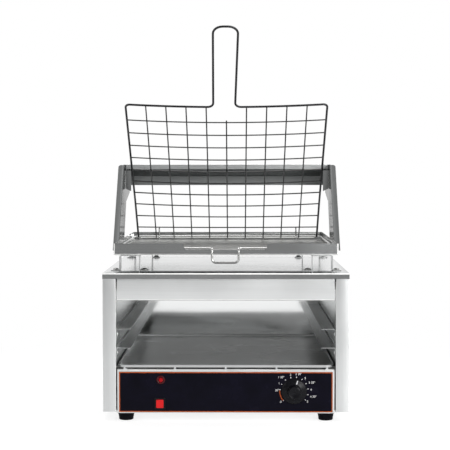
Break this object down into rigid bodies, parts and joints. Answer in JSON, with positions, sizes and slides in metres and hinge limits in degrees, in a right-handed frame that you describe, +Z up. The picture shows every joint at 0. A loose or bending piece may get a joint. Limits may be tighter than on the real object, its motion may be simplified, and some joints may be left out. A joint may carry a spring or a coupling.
{
  "type": "counter-top toaster with hinged wire basket",
  "caption": "Open-front stainless toaster with timer knob and crumb tray, carrying on brackets a tray with a hinged wire basket held up by a stand.",
  "frame": {"origin": "on the table plane under the middle of the whole object's width and depth", "axes": "+Z up, -Y towards the front with the controls, +X towards the right of someone facing the front"},
  "size_m": [0.42, 0.512, 0.6706],
  "materials": {
    "satin": "brushed stainless steel sheet",
    "polished": "mirror-polished stainless steel sheet",
    "chrome": "chromed wire",
    "zinc": "plain steel screws and rivets",
    "face": "printed dark blue plate",
    "black": "black moulded plastic",
    "knob": "black knob",
    "red": "red translucent cap",
    "lens": "red lamp lens",
    "rubber": "black rubber",
    "quartz": "milky quartz tube",
    "ceramic": "white ceramic",
    "board": "pale moulded plastic"
  },
  "bodies": {
    "base": {"arm_left": "polished", "arm_right": "polished", "arm_screws": "zinc", "bottom_plate": "satin", "bracket_front_left": "satin", "bracket_front_right": "satin", "bracket_rear_left": "satin", "bracket_rear_right": "satin", "bracket_screws": "zinc", "cable_gland": "black", "cavity_back": "polished", "channel_screws": "zinc", "contactor": "board", "control_face": "face", "control_panel": "satin", "cross_channel": "satin", "deck_plate": "satin", "foot_front_left": "rubber", "foot_front_right": "rubber", "foot_rear_left": "rubber", "foot_rear_right": "rubber", "foot_screws": "zinc", "heater_bushes": "ceramic", "heater_tube_1": "quartz", "heater_tube_2": "quartz", "heater_tube_3": "quartz", "hinge_loop_left": "chrome", "hinge_loop_right": "chrome", "hook_left": "satin", "hook_right": "satin", "hook_screws": "zinc", "left_liner": "satin", "left_rails": "satin", "left_rivets": "zinc", "left_side_panel": "satin", "panel_screws": "zinc", "pilot_bezel": "chrome", "pilot_lens": "lens", "rack": "chrome", "rear_panel": "satin", "right_liner": "satin", "right_rails": "satin", "right_rivets": "zinc", "right_side_panel": "satin", "start_switch": "black", "terminal_block": "board", "timer_body": "board", "top_panel": "polished", "tray": "satin", "tray_screws": "zinc", "upper_fascia": "satin", "upper_reflector": "satin"},
    "lid": {"lid_grid": "chrome"},
    "knob": {"timer_knob": "knob", "timer_shaft": "zinc"},
    "button": {"start_button": "red"},
    "drawer": {"crumb_tray": "polished"}
  },
  "joints": [
    {"name": "lid_hinge", "type": "hinge", "parent": "base", "child": "lid", "pos_m": [0, 0.23, 0.2895], "axis": [1, 0, 0], "range_deg": [-2.4, 37.1]},
    {"name": "timer_knob", "type": "hinge", "parent": "base", "child": "knob", "pos_m": [0.1165, -0.246, 0.0517], "axis": [0, 1, 0], "range_deg": [-153, 117]},
    {"name": "start_button", "type": "slide", "parent": "base", "child": "button", "axis": [0, 1, 0], "range_m": [0, 0.002], "stiffness_N_per_m": 500, "springref_m": -0.002},
    {"name": "crumb_tray", "type": "slide", "parent": "base", "child": "drawer", "axis": [0, -1, 0], "range_m": [0, 0.3]}
  ]
}
